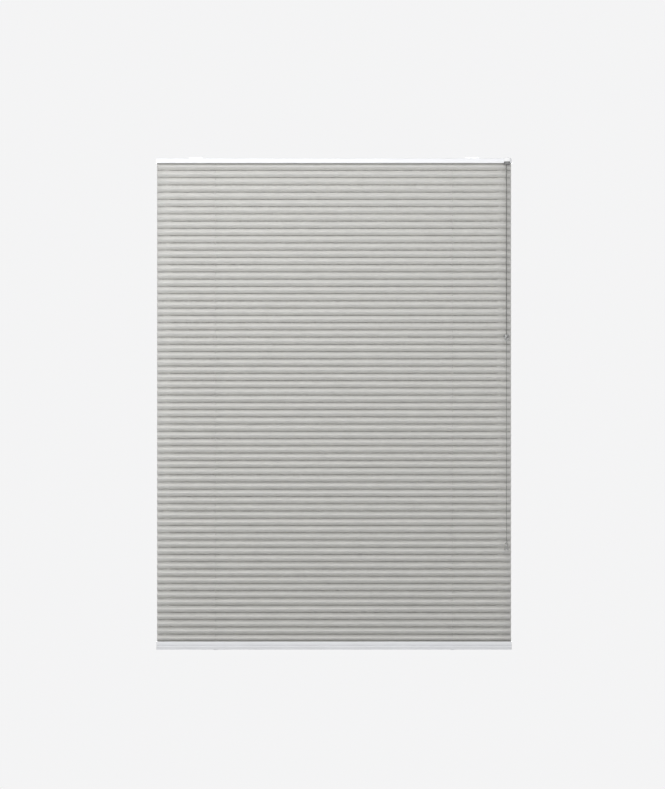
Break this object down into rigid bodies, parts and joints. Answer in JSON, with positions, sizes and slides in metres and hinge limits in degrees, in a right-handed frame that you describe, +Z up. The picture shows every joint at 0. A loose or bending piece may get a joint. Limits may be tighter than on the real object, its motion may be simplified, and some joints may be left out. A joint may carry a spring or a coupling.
{
  "type": "pleated blind",
  "caption": "Top fixed pleated window blind: slotted headrail with a cord lock, zigzag folded cloth, grooved bottom rail, and a pull cord with a break-away connector and a tassel.",
  "frame": {"origin": "on the ceiling plane, midway between the two bracket screws", "axes": "+X to the right along the headrail seen from the room, -Y towards the room, +Z up towards the ceiling"},
  "size_m": [0.9, 0.0374, 1.247],
  "materials": {
    "white_aluminium": "satin white powder coat on an aluminium extrusion",
    "white_plastic": "satin moulded plastic",
    "spring_steel": "zinc plated spring steel",
    "strip_plastic": "matt extruded plastic",
    "pleat_cloth": "warm light grey woven polyester, permanently pleated",
    "grey_plastic": "satin grey moulded plastic",
    "pin_steel": "bright turned steel",
    "clear_plastic": "clear glossy moulded plastic",
    "tassel_plastic": "smoky glossy moulded plastic",
    "cord": "grey braided polyester cord",
    "cloth_cord": "braided polyester cord in the cloth's colour"
  },
  "bodies": {
    "headrail_unit": {"headrail": "white_aluminium", "headrail_end_cap_left": "white_plastic", "headrail_end_cap_right": "white_plastic", "mounting_bracket_left": "spring_steel", "mounting_bracket_right": "spring_steel", "top_fabric_strip": "strip_plastic", "pleated_fabric": "pleat_cloth", "cord_guide_left": "grey_plastic", "cord_guide_right": "grey_plastic", "cord_lock_housing": "white_plastic", "cord_lock_lid": "white_plastic", "lock_roller_pin": "pin_steel", "lock_pawl_pin": "pin_steel", "outlet_eyelet": "grey_plastic", "headrail_cord_left": "cord", "headrail_cord_right": "cord", "lift_cord_left": "cloth_cord", "lift_cord_right": "cloth_cord", "upper_pull_cord_left": "cord", "upper_pull_cord_right": "cord"},
    "bottom_rail_unit": {"bottom_rail": "white_aluminium", "bottom_rail_end_cap_left": "white_plastic", "bottom_rail_end_cap_right": "white_plastic", "bottom_fabric_strip": "strip_plastic", "cord_anchor_left": "white_plastic", "cord_anchor_right": "white_plastic", "lift_cord_knot_left": "cord", "lift_cord_knot_right": "cord"},
    "cord_pull": {"connector_upper_half": "clear_plastic", "connector_lower_half": "clear_plastic", "connector_knot_upper": "cord", "connector_knot_lower": "cord", "pull_cord": "cord", "tassel": "tassel_plastic", "tassel_knot": "cord"},
    "roller": {"lock_roller": "pin_steel"},
    "pawl": {"lock_pawl": "grey_plastic"}
  },
  "joints": [
    {"name": "blind_raise", "type": "slide", "parent": "headrail_unit", "child": "bottom_rail_unit", "axis": [0, 0, 1], "range_m": [0, 1.14], "deforming": ["pleated_fabric", "lift_cord_left", "lift_cord_right"]},
    {"name": "cord_pull_down", "type": "slide", "parent": "headrail_unit", "child": "cord_pull", "axis": [0, 0, -1], "range_m": [0, 1.14], "deforming": ["upper_pull_cord_left", "upper_pull_cord_right"]},
    {"name": "lock_roller_turn", "type": "hinge", "parent": "headrail_unit", "child": "roller", "pos_m": [0.43165, -0.0037, -0.0065], "axis": [0, 0, -1], "range_deg": [0, 22000]},
    {"name": "lock_pawl_swing", "type": "hinge", "parent": "headrail_unit", "child": "pawl", "pos_m": [0.42565, 0.006, -0.0065], "axis": [0, 0, 1], "range_deg": [0, 22]}
  ],
  "couplings": [
    {"joint": "cord_pull_down", "follows": "blind_raise", "ratio": 1},
    {"joint": "lock_roller_turn", "follows": "blind_raise", "rad_per_m": 333.33}
  ]
}
